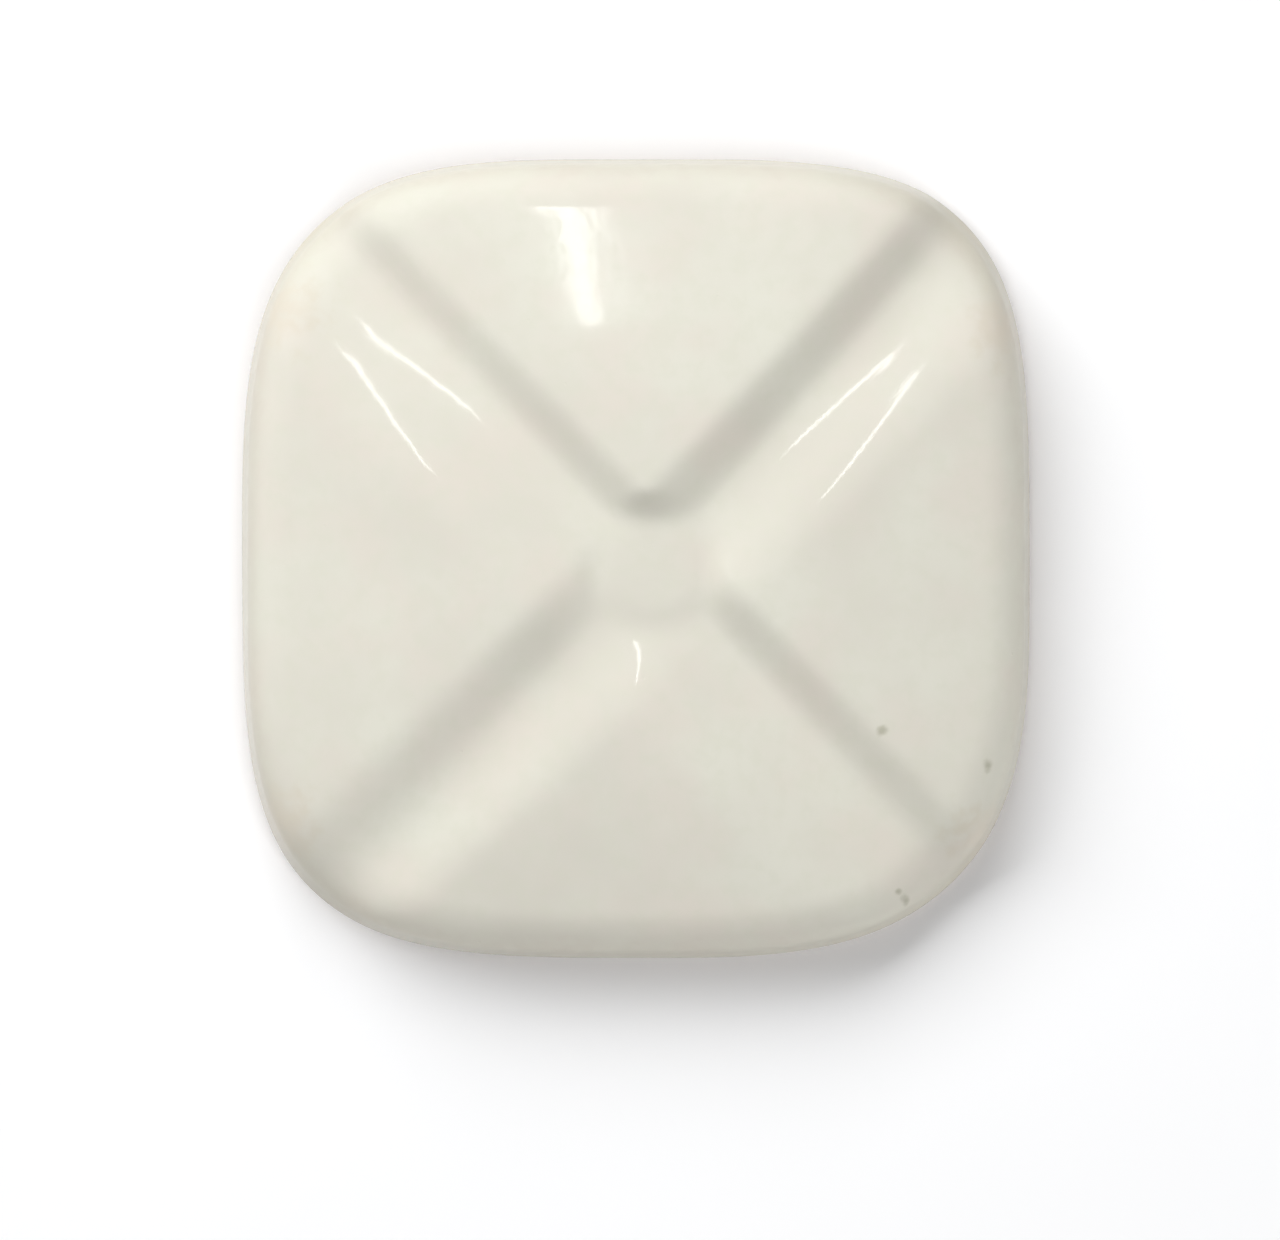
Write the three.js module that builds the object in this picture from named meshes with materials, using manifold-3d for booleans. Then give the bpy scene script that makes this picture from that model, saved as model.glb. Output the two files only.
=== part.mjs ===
// A non-reflective raised pavement marker: a solid button of fired ceramic, about four inches square with
// bowed sides and round corners, that is bonded to the road. An X of two shallow grooves is pressed
// into its crown and parts it into four pillows. A white glaze is fused over the top and the sides.
// The underside is bare and carries rows of small round grips that key into the adhesive.
//
// Millimetres, +Z up. The grips stand on the road at z = 0, under the middle of the marker.
import * as THREE from "three";
import { mergeVertices } from "three/addons/utils/BufferGeometryUtils.js";
import Module from "manifold-3d";

const wasm = await Module();
wasm.setup();

// Outline of the foot, where the marker is widest
const WIDTH = 100; // along X, between the middles of two sides
const LENGTH = 101.4; // along Y, likewise
const OUTLINE_POWER = 3.6; // of the superellipse: 2 is round, and a higher power is squarer

// Upright section of the fired body, from the middle of a side to the axis
const CROWN_HEIGHT = 19; // top of the crown over the road, before the grooves are pressed into it
const CROWN_RADIUS = 150; // of the domed top
const SHOULDER_RADIUS = 7.5; // where the crown turns down into the side
const SIDE_DRAFT = THREE.MathUtils.degToRad(14); // the sides lean in by this much to leave the press
const FOOT_CHAMFER = 1; // bevel round the bottom edge

// The X of two pressed grooves. Each groove's wall on its +Y side, the far wall, is the narrower and
// steeper one. The widths and the depth are those about the middle of its length.
const RISING_GROOVE = {
  angle: THREE.MathUtils.degToRad(47), // from the X axis to the corner at +X +Y
  depth: 3,
  farWall: 8.3,
  nearWall: 12.2,
  growth: 0.2, // share by which its depth grows and its valley nears the far side, HALF_WIDTH further along
  bow: 1.2, // by which it curves off to the far side there
};
const FALLING_GROOVE = {
  angle: THREE.MathUtils.degToRad(-46),
  depth: 3.4,
  farWall: 6.8,
  nearWall: 15.8,
  growth: 0,
  bow: 0,
};
const GROOVE_OVERLAP = 2.1; // by which the two depths together are lessened where both are full
const GROOVE_FADE = 10; // a groove has its full depth at this height over the base, and none at the base
const CROSSING_X = 2.1; // the press sets the X a little off the middle
const CROSSING_Y = -1.3;

// The flat pad where the grooves cross
const PAD_DEPTH = 3.1;
const PAD_RADIUS = 4.5; // it is flat out to here
const PAD_REACH = 10; // and has blended into the grooves by here

// Grips under the base, in square rows with one in the middle
const GRIP_HEIGHT = 1.3;
const GRIP_RADIUS = 2.4; // at the base
const GRIP_TIP_RADIUS = 2.1; // at the flat tip that stands on the road
const GRIP_PITCH = 8.6;
const GRIP_EDGE_MARGIN = 3; // of bare base left between the outermost grips and the chamfer
const GRIP_SIDES = 8;
const GRIP_ROOT = 0.6; // depth that a grip's solid reaches up into the base before the two are joined

// Glaze
const GLAZE_THICKNESS = 0.35;
const BARE_FOOT = 1.6; // height of the side, over the chamfer, that the glaze leaves bare

// Fineness of the surface
const TURN_STEPS = 72; // round the marker
const TURN_GATHER = 0.4; // 0 spaces them evenly, and towards 1 they gather at the corners
const CROWN_STEPS = 13;
const SHOULDER_STEPS = 4;
const SIDE_STEPS = 1;

const HALF_WIDTH = WIDTH / 2;
const BASE_Z = GRIP_HEIGHT;
const STRETCH_Y = LENGTH / WIDTH;

// Where the shoulder's arc has its centre: it touches the crown's arc on the inside and the leaning side.
const outward = new THREE.Vector2(Math.cos(SIDE_DRAFT), Math.sin(SIDE_DRAFT));
const upSide = new THREE.Vector2(-outward.y, outward.x);
const footCorner = new THREE.Vector2(HALF_WIDTH, BASE_Z + FOOT_CHAMFER);
const crownCentre = new THREE.Vector2(0, CROWN_HEIGHT - CROWN_RADIUS);
const inset = footCorner.clone().addScaledVector(outward, -SHOULDER_RADIUS);
const fromCrown = inset.clone().sub(crownCentre);
const alongSide = fromCrown.dot(upSide);
const reach = CROWN_RADIUS - SHOULDER_RADIUS;
const sideLength = Math.sqrt(alongSide ** 2 - fromCrown.lengthSq() + reach ** 2) - alongSide;
const shoulderCentre = inset.clone().addScaledVector(upSide, sideLength);
const shoulderStart = Math.atan2(shoulderCentre.x, shoulderCentre.y - crownCentre.y);
const shoulderEnd = Math.PI / 2 - SIDE_DRAFT;

// The point of an arc of the section whose outward direction leans by an angle from straight up.
function arcPoint(centre, radius, angle) {
  return new THREE.Vector2(centre.x + radius * Math.sin(angle), centre.y + radius * Math.cos(angle));
}

// The glazed stretch of the section, from the axis down to the glaze's lower edge, raised off the fired
// body by an offset along its own outward direction.
function glazedSection(offset) {
  const points = [];
  for (let i = 0; i < CROWN_STEPS; i++) {
    const angle = (shoulderStart * i) / CROWN_STEPS;
    points.push(arcPoint(crownCentre, CROWN_RADIUS + offset, angle));
  }
  for (let i = 0; i <= SHOULDER_STEPS; i++) {
    const angle = THREE.MathUtils.lerp(shoulderStart, shoulderEnd, i / SHOULDER_STEPS);
    points.push(arcPoint(shoulderCentre, SHOULDER_RADIUS + offset, angle));
  }
  const sideTop = points.at(-1);
  const glazedLength = sideLength - BARE_FOOT / Math.cos(SIDE_DRAFT);
  for (let i = 1; i <= SIDE_STEPS; i++) {
    points.push(sideTop.clone().addScaledVector(upSide, (-glazedLength * i) / SIDE_STEPS));
  }
  return points;
}

// How much of its depth a groove has at a place: all of it in the valley, and none beyond its walls.
function grooveShare(groove, x, y) {
  const cosine = Math.cos(groove.angle);
  const sine = Math.sin(groove.angle);
  const along = ((x - CROSSING_X) * cosine + (y - CROSSING_Y) * sine) / HALF_WIDTH;
  const across = (y - CROSSING_Y) * cosine - (x - CROSSING_X) * sine - groove.bow * along ** 2;
  const grown = groove.growth * along;
  const wall = across > 0 ? groove.farWall * (1 - grown) : groove.nearWall * (1 + grown);
  return (1 + grown) * Math.cos((Math.PI / 2) * Math.min(Math.abs(across) / wall, 1)) ** 2;
}

// How far the grooves, and the pad where they cross, lower the crown at a place.
function pressedDepth(x, y) {
  const rising = grooveShare(RISING_GROOVE, x, y);
  const falling = grooveShare(FALLING_GROOVE, x, y);
  const both = RISING_GROOVE.depth * rising + FALLING_GROOVE.depth * falling;
  const grooves = both - GROOVE_OVERLAP * rising * falling;
  const fromCrossing = Math.hypot(x - CROSSING_X, y - CROSSING_Y);
  const away = THREE.MathUtils.clamp((fromCrossing - PAD_RADIUS) / (PAD_REACH - PAD_RADIUS), 0, 1);
  return THREE.MathUtils.lerp(PAD_DEPTH, grooves, (1 - Math.cos(Math.PI * away)) / 2);
}

// Turns a section round the axis into a closed surface and shapes it. Each ring is pulled from a circle
// out to the outline, round near the middle and full at the foot. The grooves then lower the crown, and
// run out down the sides.
function pressedSurface(section) {
  const geometry = new THREE.LatheGeometry(section, TURN_STEPS);
  geometry.rotateX(Math.PI / 2);
  const position = geometry.getAttribute("position");
  const point = new THREE.Vector3();
  for (let i = 0; i < position.count; i++) {
    point.fromBufferAttribute(position, i);
    const radius = Math.hypot(point.x, point.y);
    const evenTurn = Math.atan2(point.y, point.x);
    const turn = evenTurn + (TURN_GATHER / 4) * Math.sin(4 * evenTurn);
    const power = 2 + (OUTLINE_POWER - 2) * Math.min(radius / HALF_WIDTH, 1);
    const cosine = Math.cos(turn);
    const sine = Math.sin(turn);
    const pull = (Math.abs(cosine) ** power + Math.abs(sine) ** power) ** (-1 / power);
    point.x = radius * pull * cosine;
    point.y = radius * pull * sine * STRETCH_Y;
    const fade = Math.sin((Math.PI / 2) * Math.min((point.z - BASE_Z) / GROOVE_FADE, 1));
    point.z -= fade * pressedDepth(point.x, point.y);
    position.setXYZ(i, point.x, point.y, point.z);
  }
  return geometry;
}

// Swaps two corners of every triangle, so that a surface turned from the crown down faces outward.
function turnedOver(geometry) {
  const index = geometry.index;
  for (let i = 0; i < index.count; i += 3) {
    const corner = index.getX(i);
    index.setX(i, index.getX(i + 1));
    index.setX(i + 1, corner);
  }
  return geometry;
}

// A closed geometry as a solid that can be joined to another.
function solidOf(geometry) {
  const bare = new THREE.BufferGeometry();
  bare.setAttribute("position", geometry.getAttribute("position"));
  bare.setIndex(geometry.index);
  const merged = mergeVertices(bare, 1e-4);
  return new wasm.Manifold(
    new wasm.Mesh({
      numProp: 3,
      vertProperties: merged.getAttribute("position").array,
      triVerts: new Uint32Array(merged.index.array),
    }),
  );
}

// A joined solid as a geometry, with flat facets.
function geometryOf(solid) {
  const mesh = solid.getMesh();
  const indexed = new THREE.BufferGeometry();
  indexed.setAttribute("position", new THREE.BufferAttribute(mesh.vertProperties, mesh.numProp));
  indexed.setIndex(new THREE.BufferAttribute(mesh.triVerts, 1));
  const geometry = indexed.toNonIndexed();
  geometry.computeVertexNormals();
  return geometry;
}

// Whether a grip centred here keeps its margin to the chamfered edge of the base.
function gripFits(x, y) {
  const reachX = HALF_WIDTH - FOOT_CHAMFER - GRIP_EDGE_MARGIN - GRIP_RADIUS;
  const reachY = LENGTH / 2 - FOOT_CHAMFER - GRIP_EDGE_MARGIN - GRIP_RADIUS;
  return Math.abs(x / reachX) ** OUTLINE_POWER + Math.abs(y / reachY) ** OUTLINE_POWER <= 1;
}

// The fired body: the crowned block, closed by its flat base, with the grips joined under it. Its
// section runs from the crown down, as the inside of the glaze does, so that the two share every facet.
function ceramicBody() {
  const section = [
    ...glazedSection(0),
    footCorner,
    new THREE.Vector2(HALF_WIDTH - FOOT_CHAMFER, BASE_Z),
    new THREE.Vector2(0, BASE_Z),
  ];
  const block = solidOf(turnedOver(pressedSurface(section)));

  const gripLength = GRIP_HEIGHT + GRIP_ROOT;
  const grip = new THREE.CylinderGeometry(GRIP_RADIUS, GRIP_TIP_RADIUS, gripLength, GRIP_SIDES);
  grip.rotateX(Math.PI / 2);
  grip.translate(0, 0, gripLength / 2);
  const gripSolid = solidOf(grip);
  const grips = [];
  const rows = Math.ceil(Math.max(WIDTH, LENGTH) / 2 / GRIP_PITCH);
  for (let row = -rows; row <= rows; row++) {
    for (let column = -rows; column <= rows; column++) {
      const x = column * GRIP_PITCH;
      const y = row * GRIP_PITCH;
      if (gripFits(x, y)) grips.push(gripSolid.translate([x, y, 0]));
    }
  }
  return geometryOf(wasm.Manifold.union([block, ...grips]));
}

// The glaze: a thin coat that lies on the fired body from the axis down to its lower edge.
function glazeCoat() {
  const section = [...glazedSection(0), ...glazedSection(GLAZE_THICKNESS).reverse()];
  return pressedSurface(section);
}

function piece(name, geometry, colour, roughness) {
  const material = new THREE.MeshStandardMaterial({ color: colour, roughness, metalness: 0 });
  const mesh = new THREE.Mesh(geometry, material);
  mesh.name = name;
  return mesh;
}

const marker = new THREE.Group();
marker.add(piece("ceramic_body", ceramicBody(), 0xc9b79c, 0.85));
marker.add(piece("glaze_coat", glazeCoat(), 0xe6e2d2, 0.12));

export default marker;
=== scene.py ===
from math import atan2, cos, hypot, pi, radians, sin, sqrt

import bmesh
import bpy
from mathutils import Matrix, Vector, noise


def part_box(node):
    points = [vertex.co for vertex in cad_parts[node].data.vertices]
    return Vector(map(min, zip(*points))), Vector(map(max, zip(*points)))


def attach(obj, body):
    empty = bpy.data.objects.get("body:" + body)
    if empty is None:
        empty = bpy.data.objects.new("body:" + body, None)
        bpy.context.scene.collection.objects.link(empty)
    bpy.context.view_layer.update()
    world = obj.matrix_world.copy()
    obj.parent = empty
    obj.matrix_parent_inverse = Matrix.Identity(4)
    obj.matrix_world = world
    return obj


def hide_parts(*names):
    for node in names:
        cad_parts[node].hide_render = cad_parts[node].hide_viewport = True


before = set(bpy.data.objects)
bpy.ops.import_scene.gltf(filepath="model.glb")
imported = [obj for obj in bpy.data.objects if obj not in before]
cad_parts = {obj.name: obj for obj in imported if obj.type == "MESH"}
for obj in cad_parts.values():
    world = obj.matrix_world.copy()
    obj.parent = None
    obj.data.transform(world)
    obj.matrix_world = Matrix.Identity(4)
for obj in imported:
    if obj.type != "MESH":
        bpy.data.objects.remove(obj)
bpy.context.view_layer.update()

MM = 0.001

# The fired body.
# One solid block of dense fired clay. A steel die presses clay powder into a crowned button with an X of
# two grooves on top and rows of round grips underneath, and the block is then fired as it is.

body_low, body_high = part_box("ceramic_body")
width = body_high.x - body_low.x
length = body_high.y - body_low.y
half_width = width / 2
half_length = length / 2

crown_height = 19 * MM  # before the grooves are pressed in
crown_radius = 150 * MM
shoulder_radius = 7.5 * MM
side_draft = radians(14)
foot_chamfer = 1 * MM
bare_foot = 1.6 * MM  # of the side, over the chamfer, that the glaze leaves bare

groove_fade = 10 * MM  # a groove has its full depth at this height over the base, and none at the base
crossing = Vector((2.1 * MM, -1.3 * MM, 0))
overlap = 2.1 * MM  # by which the two depths together are lessened where both are full
pad_depth = 3.1 * MM  # of the flat pad where the grooves cross
pad_radius = 4.5 * MM
pad_reach = 10 * MM  # the pad has blended into the grooves by this distance

grip_height = 1.3 * MM
grip_radius = 2.4 * MM
grip_tip_radius = 2.1 * MM
grip_pitch = 8.6 * MM
grip_edge_margin = 3 * MM  # of bare base left between the outermost grips and the chamfer
grip_edge_round = 0.25 * MM  # round the edge of a grip's tip
base = grip_height  # the flat underside stands this far over the road

outline_power = 3.6
outline_lean = 0.2  # the corners came off the die squarer towards +Y, and along one diagonal

crown_steps = 70
shoulder_steps = 12
side_steps = 10
turn_steps = 256
grip_sides = 20

# The shoulder's arc touches the crown's arc on the inside and the leaning side.
outward = Vector((cos(side_draft), 0, sin(side_draft)))
up_side = Vector((-sin(side_draft), 0, cos(side_draft)))
foot_corner = Vector((half_width, 0, base + foot_chamfer))
crown_centre = Vector((0, 0, crown_height - crown_radius))
inset = foot_corner - outward * shoulder_radius - crown_centre
rise = inset.dot(up_side)
side_length = sqrt(rise**2 - inset.length_squared + (crown_radius - shoulder_radius) ** 2) - rise
shoulder_centre = crown_centre + inset + up_side * side_length
shoulder_start = atan2(shoulder_centre.x, shoulder_centre.z - crown_centre.z)
shoulder_turn = pi / 2 - side_draft - shoulder_start
glazed_side = side_length - bare_foot / cos(side_draft)


def extend(mesh, vert, move):
    """Draws an edge from the section's last point, and returns its new end."""
    made = bmesh.ops.extrude_vert_indiv(mesh, verts=[vert])["verts"]
    bmesh.ops.translate(mesh, verts=made, vec=move)
    return made[0]


def arc(mesh, vert, centre, angle, steps):
    """Draws an arc of the section from its last point, and returns its new end."""
    made = bmesh.ops.spin(
        mesh, geom=[vert], cent=centre, axis=(0, 1, 0), angle=angle, steps=steps
    )["geom_last"]
    return next(item for item in made if isinstance(item, bmesh.types.BMVert))


def straight(mesh, vert, move, steps):
    """Draws a straight stretch of the section in equal edges, and returns its new end."""
    for _ in range(steps):
        vert = extend(mesh, vert, move / steps)
    return vert


def outline_pull(turn, share):
    """How far a ring reaches in one direction, when its reach across a side is 1."""
    power = 2 + (outline_power + outline_lean * (sin(turn) + sin(2 * turn)) - 2) * share
    return (abs(cos(turn)) ** power + abs(sin(turn)) ** power) ** (-1 / power)


class Groove:
    """One groove of the X, with a steep wall on its far side, towards +Y, and an easy one on its near side.

    Half the marker's width along its angle, its depth has grown by a share, and it has curved off to the
    far side by its bow.
    """

    def __init__(self, angle, depth, far_wall, near_wall, growth=0, bow=0):
        self.angle = angle
        self.depth = depth
        self.far_wall = far_wall
        self.near_wall = near_wall
        self.growth = growth
        self.bow = bow

    def share(self, point):
        """How much of its depth it has at a point: all in the valley, and none beyond its walls."""
        start = point - crossing
        along = (start.x * cos(self.angle) + start.y * sin(self.angle)) / half_width
        across = start.y * cos(self.angle) - start.x * sin(self.angle) - self.bow * along**2
        grown = self.growth * along
        wall = self.far_wall * (1 - grown) if across > 0 else self.near_wall * (1 + grown)
        return (1 + grown) * cos(pi / 2 * min(abs(across) / wall, 1)) ** 2


rising = Groove(radians(47), 3 * MM, 8.3 * MM, 12.2 * MM, growth=0.2, bow=1.2 * MM)
falling = Groove(radians(-46), 3.4 * MM, 6.8 * MM, 15.8 * MM)


def groove_drop(point):
    """How far the grooves and the pad where they cross lower the crown at a point."""
    first, second = rising.share(point), falling.share(point)
    drop = rising.depth * first + falling.depth * second - overlap * first * second
    away = ((point - crossing).xy.length - pad_radius) / (pad_reach - pad_radius)
    pad = (1 + cos(pi * min(max(away, 0), 1))) / 2
    return drop + (pad_depth - drop) * pad


def press(mesh):
    """Gives a round turned form the die's shape: its square outline and its two grooves."""
    for vert in mesh.verts:
        radius = hypot(vert.co.x, vert.co.y)
        turn = atan2(vert.co.y, vert.co.x)
        pull = outline_pull(turn, min(radius / half_width, 1))
        vert.co.x = radius * pull * cos(turn)
        vert.co.y = radius * pull * sin(turn) * length / width
        height = min((vert.co.z - base) / groove_fade, 1)
        vert.co.z -= sin(pi / 2 * height) * groove_drop(vert.co)


def turned(mesh):
    """Turns the section round the axis into a form, closed at its poles."""
    bmesh.ops.spin(
        mesh, geom=mesh.verts[:] + mesh.edges[:], cent=(0, 0, 0), axis=(0, 0, 1),
        angle=2 * pi, steps=turn_steps, use_merge=True,
    )
    bmesh.ops.remove_doubles(mesh, verts=mesh.verts[:], dist=0.001 * MM)


def piece_of(name, mesh, material):
    """Makes the finished mesh a smooth piece of the scene."""
    bmesh.ops.recalc_face_normals(mesh, faces=mesh.faces[:])
    data = bpy.data.meshes.new(name)
    mesh.to_mesh(data)
    mesh.free()
    data.shade_smooth()
    data.materials.append(material)
    piece = bpy.data.objects.new(name, data)
    bpy.context.collection.objects.link(piece)
    return piece


class Wire:
    """One output in a material's nodes. Python's operators on it add Math nodes."""

    def __init__(self, finish, socket):
        self.finish = finish
        self.socket = socket

    def maths(self, operation, *values):
        inputs = dict(enumerate(values))
        return self.finish.node("ShaderNodeMath", {"operation": operation}, inputs)

    def __add__(self, other):
        return self.maths("ADD", self, other)

    def __radd__(self, other):
        return self.maths("ADD", other, self)

    def __sub__(self, other):
        return self.maths("SUBTRACT", self, other)

    def __rsub__(self, other):
        return self.maths("SUBTRACT", other, self)

    def __mul__(self, other):
        return self.maths("MULTIPLY", self, other)

    def __rmul__(self, other):
        return self.maths("MULTIPLY", other, self)

    def __truediv__(self, other):
        return self.maths("DIVIDE", self, other)

    def __pow__(self, other):
        return self.maths("POWER", self, other)

    def __abs__(self):
        return self.maths("ABSOLUTE", self)


class Finish:
    """One material, and the one way in which nodes are added to it."""

    def __init__(self, name):
        self.material = bpy.data.materials.new(name)
        self.material.use_nodes = True
        self.nodes = self.material.node_tree.nodes
        self.links = self.material.node_tree.links
        self.nodes.clear()

    def node(self, kind, settings=None, inputs=None, output=0):
        """Adds a node, with its settings first, then values or wires for its inputs by name or place."""
        made = self.nodes.new(kind)
        for name, value in (settings or {}).items():
            setattr(made, name, value)
        for name, value in (inputs or {}).items():
            if isinstance(value, Wire):
                self.links.new(value.socket, made.inputs[name])
            else:
                made.inputs[name].default_value = value
        return Wire(self, made.outputs[output]) if made.outputs else made

    def mix(self, factor, first, second):
        """Mixes two colours."""
        inputs = {0: factor, 6: first, 7: second}
        return self.node("ShaderNodeMix", {"data_type": "RGBA"}, inputs, output=2)

    def fade(self, value, start, end):
        """From 0 where a value is at its start to 1 where it is at its end, with soft ends."""
        settings = {"interpolation_type": "SMOOTHSTEP"}
        return self.node("ShaderNodeMapRange", settings, {0: value, 1: start, 2: end})

    def noise(self, place, scale, detail=2, roughness=0.5):
        """Noise from 0 to 1, with a scale in bumps for each unit of its place."""
        inputs = {"Vector": place, "Scale": scale, "Detail": detail, "Roughness": roughness}
        return self.node("ShaderNodeTexNoise", {}, inputs)

    def millimetres(self):
        """The place on the piece, in millimetres from the middle of the marker."""
        place = self.node("ShaderNodeTexCoord", output=3)
        return self.node("ShaderNodeMapping", {}, {"Vector": place, "Scale": (1 / MM,) * 3})

    def coordinates(self, place):
        """A place's X, Y and Z, each on its own."""
        split = self.node("ShaderNodeSeparateXYZ", {}, {0: place})
        return [Wire(self, output) for output in split.socket.node.outputs]

    def surface(self, **inputs):
        """Ends the material with its shader, whose inputs are named as in the node."""
        named = {name.replace("_", " "): value for name, value in inputs.items()}
        shader = self.node("ShaderNodeBsdfPrincipled", {}, named)
        self.node("ShaderNodeOutputMaterial", {}, {"Surface": shader})
        return self.material


def fired_clay():
    """Bare fired clay: a pale buff with a fine grain, iron specks and pores."""
    buff, pale_buff = (0.57, 0.48, 0.37, 1), (0.66, 0.57, 0.46, 1)
    grain_brown, iron_brown = (0.42, 0.31, 0.22, 1), (0.20, 0.12, 0.08, 1)

    clay = Finish("fired_clay")
    place = clay.millimetres()
    cloud = clay.noise(place, 0.08, detail=3)
    grain = clay.noise(place, 2.2, detail=6, roughness=0.7)
    cells = clay.node("ShaderNodeTexVoronoi", {}, {"Vector": place, "Scale": 0.55})
    speck = clay.fade(cells, 0.12, 0.05)
    colour = clay.mix(cloud, buff, pale_buff)
    colour = clay.mix(grain * 0.5, colour, grain_brown)
    colour = clay.mix(speck * 0.6, colour, iron_brown)
    height = grain * 0.06 - speck * 0.08
    bump = clay.node("ShaderNodeBump", {}, {"Strength": 1.0, "Distance": MM, "Height": height})
    return clay.surface(Base_Color=colour, Roughness=0.78 + grain * 0.2, Normal=bump)


def clay_section(mesh):
    """The body's outline in one upright half plane, from the axis over the crown to the chamfer."""
    end = mesh.verts.new((0, 0, crown_height))
    end = arc(mesh, end, crown_centre, shoulder_start, crown_steps)
    end = arc(mesh, end, shoulder_centre, shoulder_turn, shoulder_steps)
    end = straight(mesh, end, up_side * -side_length, side_steps)
    extend(mesh, end, Vector((-foot_chamfer, 0, -foot_chamfer)))


def grip_fits(x, y):
    """Whether a grip centred here keeps its margin to the chamfer."""
    taken = foot_chamfer + grip_edge_margin + grip_radius
    share_x = abs(x) / (half_width - taken)
    share_y = abs(y) / (half_length - taken)
    return share_x**outline_power + share_y**outline_power <= 1


def add_underside(mesh):
    """Closes the base with a flat face, out of which the round grips stand."""
    foot_edges = [edge for edge in mesh.edges if edge.is_boundary]
    rows = int(half_length / grip_pitch) + 1
    for row in range(-rows, rows + 1):
        for column in range(-rows, rows + 1):
            x, y = column * grip_pitch, row * grip_pitch
            if grip_fits(x, y):
                bmesh.ops.create_circle(
                    mesh, radius=grip_radius, segments=grip_sides, matrix=Matrix.Translation((x, y, base))
                )
    root_edges = [edge for edge in mesh.edges if edge.is_wire]
    bmesh.ops.triangle_fill(mesh, use_beauty=True, edges=foot_edges + root_edges, normal=(0, 0, -1))
    made = bmesh.ops.extrude_edge_only(mesh, edges=root_edges)["geom"]
    tips = [item for item in made if isinstance(item, bmesh.types.BMVert)]
    tip_edges = [item for item in made if isinstance(item, bmesh.types.BMEdge)]
    for vert in tips:
        middle = Vector([round(part / grip_pitch) * grip_pitch for part in vert.co.xy])
        vert.co.xy = middle + (vert.co.xy - middle) * grip_tip_radius / grip_radius
        vert.co.z = base - grip_height
    rims = [edge for edge in tip_edges if edge.verts[0] in tips and edge.verts[1] in tips]
    bmesh.ops.edgeloop_fill(mesh, edges=rims)
    bmesh.ops.bevel(
        mesh, geom=rims, offset=grip_edge_round, segments=2, profile=0.5, affect="EDGES", material=-1
    )


clay_mesh = bmesh.new()
clay_section(clay_mesh)
turned(clay_mesh)
press(clay_mesh)
add_underside(clay_mesh)
fired_body = piece_of("fired_body", clay_mesh, fired_clay())
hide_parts("ceramic_body")
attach(fired_body, "root")

# The glaze.
# An opaque cream-white glass, sprayed on as slip and fused in the kiln. It covers the top and the sides in
# one thin coat, and ends in a rolled, slightly wandering edge a little above the foot.

coat = 0.35 * MM
bead_steps = 5  # round the rolled edge
edge_wander = 0.5 * MM
edge_reach = 3 * MM  # height over the glaze's edge to which its wandering moves the coat
edge_waves = 3  # how often it rises and dips round the marker

# Places on the top in millimetres: where the coat ran off the pillows' corners, and specks with their reach
thin_spots = ((-43.5, 31), (46, 29), (-44, -33), (43, -35))
spot_reach = 6
specks = ((30.5, -21.6, 0.9), (44.2, -26.1, 1), (34, -43.2, 0.9), (33, -42, 0.6))


def white_glaze():
    """Fused white glaze: glossy, cream, faintly clouded, darker where it lies thinner over an edge, and
    with painted shade on its sides.
    """
    dull_cream, bright_cream = (0.665, 0.64, 0.56, 1), (0.705, 0.695, 0.605, 1)
    warm_cream, green_cream = (0.70, 0.645, 0.57, 1), (0.65, 0.65, 0.54, 1)
    thin_glaze_and_shade_olive, thin_tan, speck_brown = (0.46, 0.42, 0.31, 1), (0.62, 0.50, 0.38, 1), (0.30, 0.29, 0.19, 1)

    glaze = Finish("white_glaze")
    place = glaze.millimetres()
    across, along, _ = glaze.coordinates(place)

    cloud = glaze.noise(place, 0.05, detail=3)
    mottle = glaze.noise(place, 0.08, detail=2)
    blotch = glaze.noise(place, 0.45, detail=3)

    def stain(x, y, reach):
        """1 in the middle of an uneven stain on the top, and 0 from its edge on."""
        away = ((across - x) ** 2 + (along - y) ** 2) ** 0.5
        return glaze.fade(away + (blotch - 0.5) * reach * 2, reach, 0)

    colour = glaze.mix(glaze.fade(cloud, 0.3, 0.7), dull_cream, bright_cream)
    colour = glaze.mix(glaze.fade(mottle, 0.4, 0.7) * 0.6, colour, warm_cream)
    colour = glaze.mix(glaze.fade(blotch, 0.6, 0.3) * 0.3, colour, green_cream)
    # Painted shade: the olive band near the outline darkens the shoulder and side walls, partly for glaze
    # lying thinner there and partly for shade painted on the sides.
    outline = (abs(across) / (half_width / MM)) ** outline_power
    outline += (abs(along) / (half_length / MM)) ** outline_power
    thin_edge_and_shade = glaze.fade(outline + blotch * 0.1, 0.8, 1.05)
    colour = glaze.mix(thin_edge_and_shade * 0.5, colour, thin_glaze_and_shade_olive)
    for x, y in thin_spots:
        colour = glaze.mix(stain(x, y, spot_reach) * 0.25, colour, thin_tan)
    for x, y, reach in specks:
        colour = glaze.mix(stain(x, y, reach) * 0.55, colour, speck_brown)

    cells = glaze.node("ShaderNodeTexVoronoi", {}, {"Vector": place, "Scale": 0.14})
    pinhole = glaze.fade(cells, 0.035, 0.015)
    peel = glaze.noise(place, 0.3, detail=2)
    height = peel * 0.08 - pinhole * 0.15
    bump = glaze.node("ShaderNodeBump", {}, {"Strength": 0.2, "Distance": MM, "Height": height})
    return glaze.surface(Base_Color=colour, Roughness=0.06 + cloud * 0.03, Normal=bump, IOR=1.52)


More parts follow.
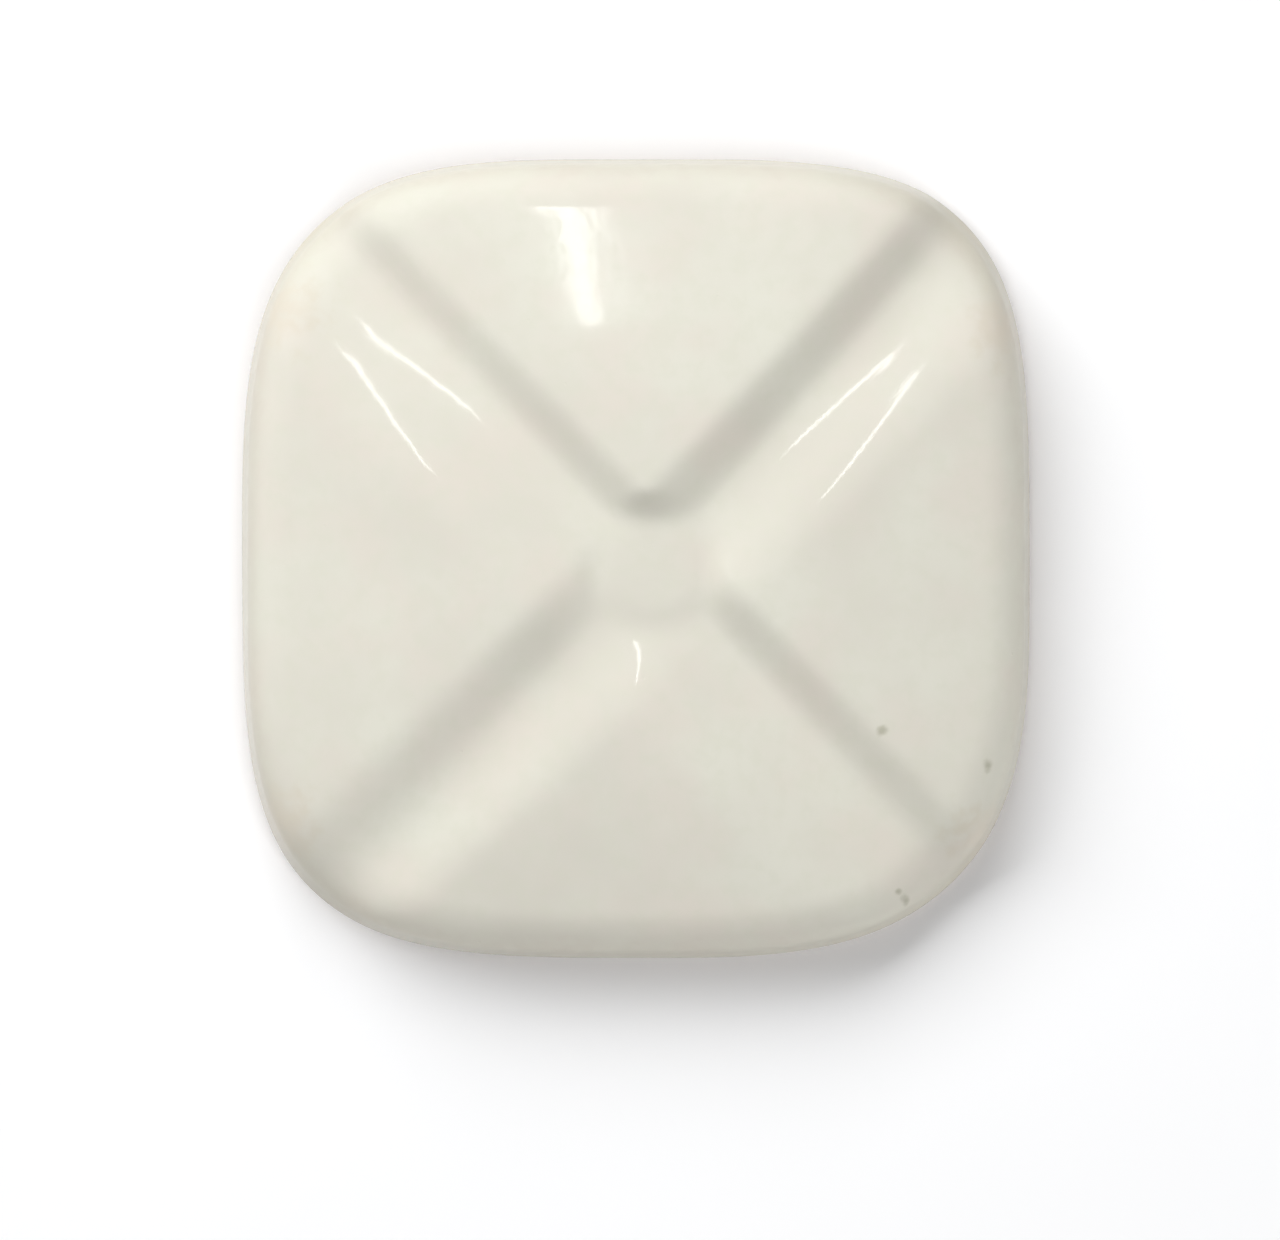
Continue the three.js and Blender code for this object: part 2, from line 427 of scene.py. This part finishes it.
def glaze_section(mesh):
    """The coat's closed section: out over the glazed face, round the rolled edge, and back inside."""
    end = mesh.verts.new((0, 0, crown_height + coat))
    end = arc(mesh, end, crown_centre, shoulder_start, crown_steps)
    end = arc(mesh, end, shoulder_centre, shoulder_turn, shoulder_steps)
    end = straight(mesh, end, up_side * -glazed_side, side_steps)
    end = arc(mesh, end, end.co - outward * coat / 2, pi, bead_steps)
    end = straight(mesh, end, up_side * glazed_side, side_steps)
    end = arc(mesh, end, shoulder_centre, -shoulder_turn, shoulder_steps)
    arc(mesh, end, crown_centre, -shoulder_start, crown_steps)


def wander(mesh):
    """Lets the glaze's lower edge rise and dip round the marker."""
    edge_height = foot_corner.z + bare_foot
    for vert in mesh.verts:
        above = (vert.co.z - edge_height) / edge_reach
        if above < 1:
            turn = atan2(vert.co.y, vert.co.x)
            sway = noise.noise(Vector((edge_waves * cos(turn), edge_waves * sin(turn), 0.5)))
            vert.co.z += edge_wander * sway * (1 - max(above, 0)) ** 2


glaze_mesh = bmesh.new()
glaze_section(glaze_mesh)
turned(glaze_mesh)
press(glaze_mesh)
wander(glaze_mesh)
glaze_skin = piece_of("glaze_skin", glaze_mesh, white_glaze())
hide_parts("glaze_coat")
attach(glaze_skin, "root")

# The table.
# A plain sheet of matt white paper, which the marker stands on by its grips. It reaches far past the
# marker on every side, so that its edges stay out of view.

floor_half = 1.5  # from its middle to an edge


def white_paper():
    """Matt white paper."""
    paper = Finish("white_paper")
    place = paper.millimetres()
    fibre = paper.noise(place, 0.02, detail=2)
    colour = paper.mix(fibre, (0.93, 0.932, 0.94, 1), (0.95, 0.952, 0.96, 1))
    return paper.surface(Base_Color=colour, Roughness=0.9, Specular_IOR_Level=0.1)


floor_mesh = bmesh.new()
bmesh.ops.create_grid(floor_mesh, x_segments=1, y_segments=1, size=floor_half)
floor = piece_of("floor", floor_mesh, white_paper())

# Light and camera.
# One big soft lamp and two weaker ones light the marker and aren't mirrored in its glaze. Two small lamps
# high beyond its top side are, and draw the bright lines on the pillows. The white room shows only in the
# gloss and behind the table. The camera looks straight down.


def lamp(name, place, target, size, power, mirrored=True):
    """A rectangular lamp, turned to face a point. The gloss may be kept from mirroring it."""
    data = bpy.data.lights.new(name, "AREA")
    data.shape = "RECTANGLE"
    data.size, data.size_y = size
    data.energy = power
    light = bpy.data.objects.new(name, data)
    light.location = place
    light.rotation_euler = (target - Vector(place)).to_track_quat("-Z", "Y").to_euler()
    light.visible_glossy = mirrored
    bpy.context.collection.objects.link(light)


def direction(turn, rise):
    """A unit vector, by its turn from +X and its rise over the floor, in degrees."""
    flat = cos(radians(rise))
    return Vector((flat * cos(radians(turn)), flat * sin(radians(turn)), sin(radians(rise))))


marker_middle = Vector((0, 0, 0))
lamp_distance = 1.3
for name, turn, rise, size, power in (
    ("key_lamp", 123, 39, (1.8, 0.8), 24.4),
    ("top_lamp", 295, 66, (0.9, 0.9), 7),
    ("fill_lamp", 320, 14, (1.5, 0.5), 5.9),
):
    lamp(name, lamp_distance * direction(turn, rise), marker_middle, size, power, mirrored=False)

mirror_height = 1.0  # of the two lamps that the glaze mirrors, which face straight down
for name, x, y, size, power in (
    ("strip_lamp", -0.035, 0.645, (0.026, 0.33), 0.24),
    ("short_lamp", -0.055, 0.795, (0.04, 0.03), 0.04),
):
    lamp(name, (x, y, mirror_height), Vector((x, y, 0)), size, power)

room = bpy.data.worlds.new("room")
room.use_nodes = True
room.node_tree.nodes["Background"].inputs["Color"].default_value = (1, 1, 1, 1)
room.node_tree.nodes["Background"].inputs["Strength"].default_value = 0.9
room.cycles_visibility.diffuse = False
bpy.context.scene.world = room

view_width = 163.3 * MM  # at the height of the road
view_middle = (0.5 * MM, -7.8 * MM)
camera_data = bpy.data.cameras.new("camera")
camera_data.lens = 150
camera_data.sensor_width = 36
camera = bpy.data.objects.new("camera", camera_data)
camera_height = view_width * camera_data.lens / camera_data.sensor_width
camera.location = (*view_middle, camera_height)
bpy.context.collection.objects.link(camera)
bpy.context.scene.camera = camera
bpy.context.scene.view_settings.view_transform = "Standard"
